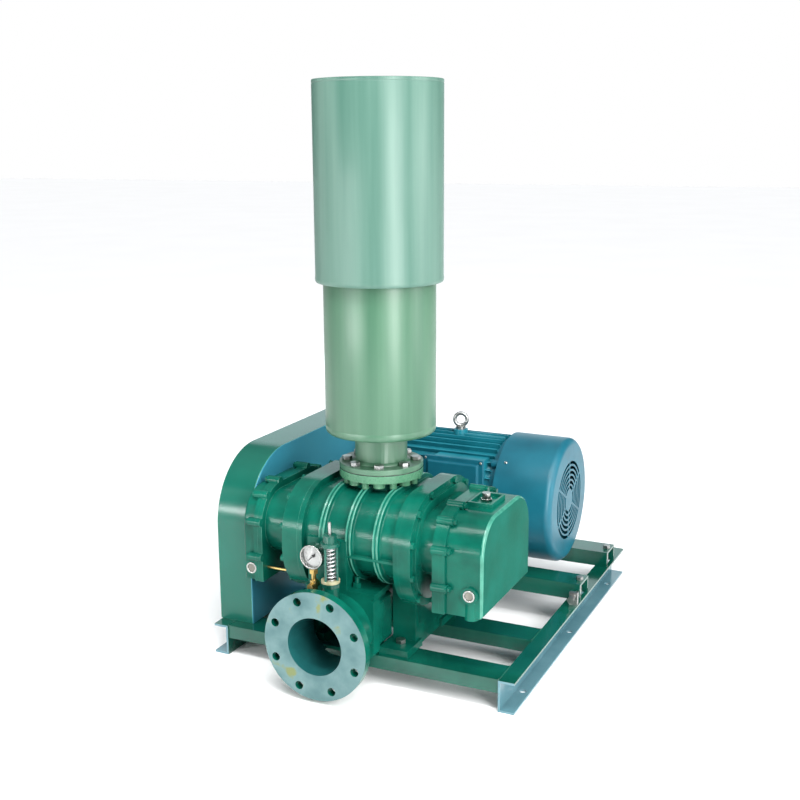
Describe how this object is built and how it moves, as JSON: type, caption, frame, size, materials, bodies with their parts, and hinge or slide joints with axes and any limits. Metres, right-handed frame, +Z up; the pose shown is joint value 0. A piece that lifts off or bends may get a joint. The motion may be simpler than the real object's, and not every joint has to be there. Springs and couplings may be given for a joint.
{
  "type": "roots blower",
  "caption": "Belt driven three-lobe roots blower on a steel base frame, with upright inlet silencer, front discharge flange, relief valve, gauge and electric motor.",
  "frame": {"origin": "centre of the anchor hole pattern, on the floor", "axes": "+X along the shafts towards the motor cooling cowl, -Y towards the discharge flange, +Z up"},
  "size_m": [0.875, 1.19, 1.52],
  "materials": {
    "frame_green": "semi-gloss dark green paint",
    "blower_green": "gloss green enamel on cast iron",
    "motor_blue": "semi-gloss blue paint",
    "silencer_green": "satin pale green paint on sheet steel",
    "guard_green": "gloss green paint on sheet steel",
    "guard_blue": "semi-gloss blue paint on sheet steel",
    "zinc": "zinc plated",
    "iron": "machined cast iron",
    "steel": "ground steel",
    "brass": "turned brass",
    "black_plastic": "moulded",
    "seal_rubber": "moulded nitrile",
    "belt_rubber": "wrapped V belt",
    "nickel": "polished",
    "lens": "clear",
    "dial_white": "printed dial with plain ticks",
    "pointer_black": "painted",
    "valve_cap_paint": "dark green paint",
    "gasket": "fibre gasket",
    "foam": "open cell acoustic foam"
  },
  "bodies": {
    "base": {"rail_left": "frame_green", "rail_right": "frame_green", "beam_front": "frame_green", "beam_middle": "frame_green", "tension_screws": "zinc", "rotor_casing": "blower_green", "drive_side_plate": "blower_green", "gear_side_plate": "blower_green", "drive_end_cover": "blower_green", "gear_cover": "blower_green", "casing_bolts": "zinc", "cover_bolts": "zinc", "foot_bolts": "zinc", "shaft_bearings": "steel", "shaft_seals": "seal_rubber", "sight_bezels": "nickel", "sight_lenses": "lens", "breather": "zinc", "vent_tube": "brass", "discharge_elbow": "blower_green", "valve_body": "brass", "valve_spring": "steel", "valve_cap": "valve_cap_paint", "gauge_case": "nickel", "gauge_dial": "dial_white", "gauge_glass": "lens", "gauge_cock": "brass", "inlet_gasket": "gasket", "inlet_bolts": "zinc", "silencer_neck": "silencer_green", "silencer_body": "silencer_green", "silencer_hood": "silencer_green", "silencer_foam": "foam", "drive_belts": "belt_rubber", "belt_guard": "guard_green", "guard_back_plate": "guard_blue"},
    "motor_carriage": {"motor_beam_front": "frame_green", "motor_beam_rear": "frame_green", "carriage_bolts": "zinc", "motor_frame": "motor_blue", "motor_core": "iron", "motor_shield_drive": "motor_blue", "motor_shield_rear": "motor_blue", "motor_bearings": "steel", "fan_cowl": "motor_blue", "terminal_box": "motor_blue", "terminal_lid": "motor_blue", "eyebolt": "zinc", "motor_foot_bolts": "zinc"},
    "motor_rotor": {"motor_shaft": "steel", "cooling_fan": "black_plastic", "motor_pulley": "iron"},
    "drive_shaft": {"drive_rotor": "steel", "drive_gear": "steel", "blower_pulley": "iron"},
    "driven_shaft": {"driven_rotor": "steel", "driven_gear": "steel"},
    "relief_stem": {"valve_stem": "steel"},
    "pointer": {"gauge_pointer": "pointer_black"},
    "lever": {"cock_lever": "brass"}
  },
  "joints": [
    {"name": "drive_shaft_spin", "type": "hinge", "parent": "base", "child": "drive_shaft", "pos_m": [-0.005, -0.272, 0.38], "axis": [1, 0, 0], "continuous": true},
    {"name": "driven_shaft_spin", "type": "hinge", "parent": "base", "child": "driven_shaft", "pos_m": [-0.005, -0.422, 0.38], "axis": [1, 0, 0], "continuous": true},
    {"name": "motor_tension_slide", "type": "slide", "parent": "base", "child": "motor_carriage", "axis": [0, 1, 0], "range_m": [0, 0.025], "deforming": ["drive_belts"]},
    {"name": "motor_shaft_spin", "type": "hinge", "parent": "motor_carriage", "child": "motor_rotor", "pos_m": [0, 0.245, 0.315], "axis": [1, 0, 0], "continuous": true},
    {"name": "relief_valve_lift", "type": "slide", "parent": "base", "child": "relief_stem", "axis": [0, 0, 1], "range_m": [0, 0.008], "stiffness_N_per_m": 3000, "springref_m": -0.01, "deforming": ["valve_spring"]},
    {"name": "gauge_pointer_turn", "type": "hinge", "parent": "base", "child": "pointer", "pos_m": [-0.078, -0.59, 0.3585], "axis": [0, 1, 0], "range_deg": [0, 270]},
    {"name": "gauge_cock_turn", "type": "hinge", "parent": "base", "child": "lever", "pos_m": [-0.078, -0.59, 0.2815], "axis": [0, 1, 0], "range_deg": [0, 90]}
  ],
  "couplings": [
    {"joint": "driven_shaft_spin", "follows": "drive_shaft_spin", "ratio": -1},
    {"joint": "motor_shaft_spin", "follows": "drive_shaft_spin", "ratio": 1.25}
  ]
}
